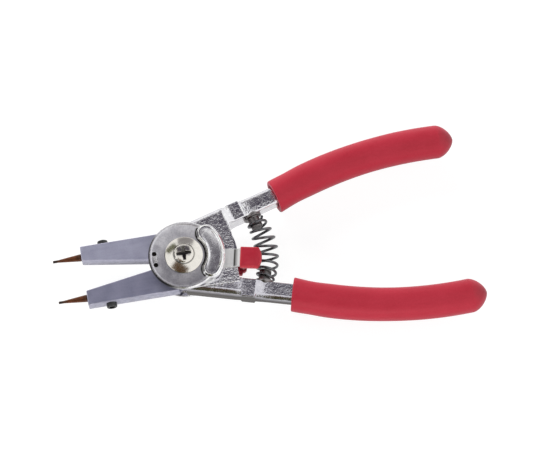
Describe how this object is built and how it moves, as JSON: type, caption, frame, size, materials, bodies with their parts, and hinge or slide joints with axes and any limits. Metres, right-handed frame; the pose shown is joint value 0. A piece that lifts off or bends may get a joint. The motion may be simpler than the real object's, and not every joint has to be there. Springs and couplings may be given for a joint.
{
  "type": "circlip pliers",
  "caption": "Convertible retaining-ring pliers with replaceable straight tips, flat lapped jaws, pressed channel handles in red sleeves, a bowed return spring and a thumb switch at the pivot.",
  "frame": {"origin": "on the pivot axis, in the plane of the rear flange that the pliers rest on", "axes": "+X along the pliers from the pivot to the handles, +Y towards the upper handle, +Z along the pivot axis to the front cover"},
  "size_m": [0.1935, 0.0934, 0.0212],
  "materials": {
    "nickel_steel": "bright nickel plate on pressed steel",
    "grip_vinyl": "satin dipped vinyl",
    "bare_steel": "turned",
    "spring_steel": "drawn wire",
    "jaw_steel": "matte blue-grey",
    "tip_copper": "copper-coloured, darker at the point",
    "black_steel": "black oxide",
    "cap_plastic": "moulded"
  },
  "bodies": {
    "pivot": {"pivot_post": "nickel_steel", "pivot_screw": "nickel_steel", "dome_washer": "nickel_steel", "front_cover": "nickel_steel", "rear_cover": "nickel_steel"},
    "upper_handle": {"upper_handle": "nickel_steel", "upper_grip": "grip_vinyl", "upper_lock_pin": "bare_steel", "upper_spring_seat": "bare_steel"},
    "lower_handle": {"lower_handle": "nickel_steel", "lower_grip": "grip_vinyl", "lower_lock_pin": "bare_steel", "lower_spring_seat": "bare_steel", "return_spring": "spring_steel"},
    "upper_jaw": {"upper_jaw": "jaw_steel", "upper_tip": "tip_copper", "upper_set_screw": "black_steel"},
    "lower_jaw": {"lower_jaw": "jaw_steel", "lower_tip": "tip_copper", "lower_set_screw": "black_steel"},
    "switch": {"front_switch_lever": "nickel_steel", "rear_switch_lever": "nickel_steel", "switch_cap": "cap_plastic", "switch_rear_cap": "cap_plastic"}
  },
  "joints": [
    {"name": "upper_squeeze", "type": "hinge", "parent": "pivot", "child": "upper_handle", "pos_m": [0, 0, 0.0095], "axis": [0, 0, -1], "range_deg": [0, 8.6], "stiffness_Nm_per_rad": 12, "springref_deg": -3.44, "deforming": ["return_spring"]},
    {"name": "lower_squeeze", "type": "hinge", "parent": "pivot", "child": "lower_handle", "pos_m": [0, 0, 0.0095], "axis": [0, 0, 1], "range_deg": [0, 8.6]},
    {"name": "upper_jaw_swing", "type": "hinge", "parent": "pivot", "child": "upper_jaw", "pos_m": [0, 0, 0.0095], "axis": [0, 0, 1], "range_deg": [0, 8.6]},
    {"name": "lower_jaw_swing", "type": "hinge", "parent": "pivot", "child": "lower_jaw", "pos_m": [0, 0, 0.0095], "axis": [0, 0, -1], "range_deg": [0, 8.6]},
    {"name": "switch_flip", "type": "hinge", "parent": "pivot", "child": "switch", "pos_m": [0, 0, 0.0095], "axis": [0, 0, 1], "range_deg": [0, 24]}
  ],
  "couplings": [
    {"joint": "lower_squeeze", "follows": "upper_squeeze", "ratio": 1},
    {"joint": "upper_jaw_swing", "follows": "upper_squeeze", "ratio": 1},
    {"joint": "lower_jaw_swing", "follows": "upper_squeeze", "ratio": 1}
  ]
}
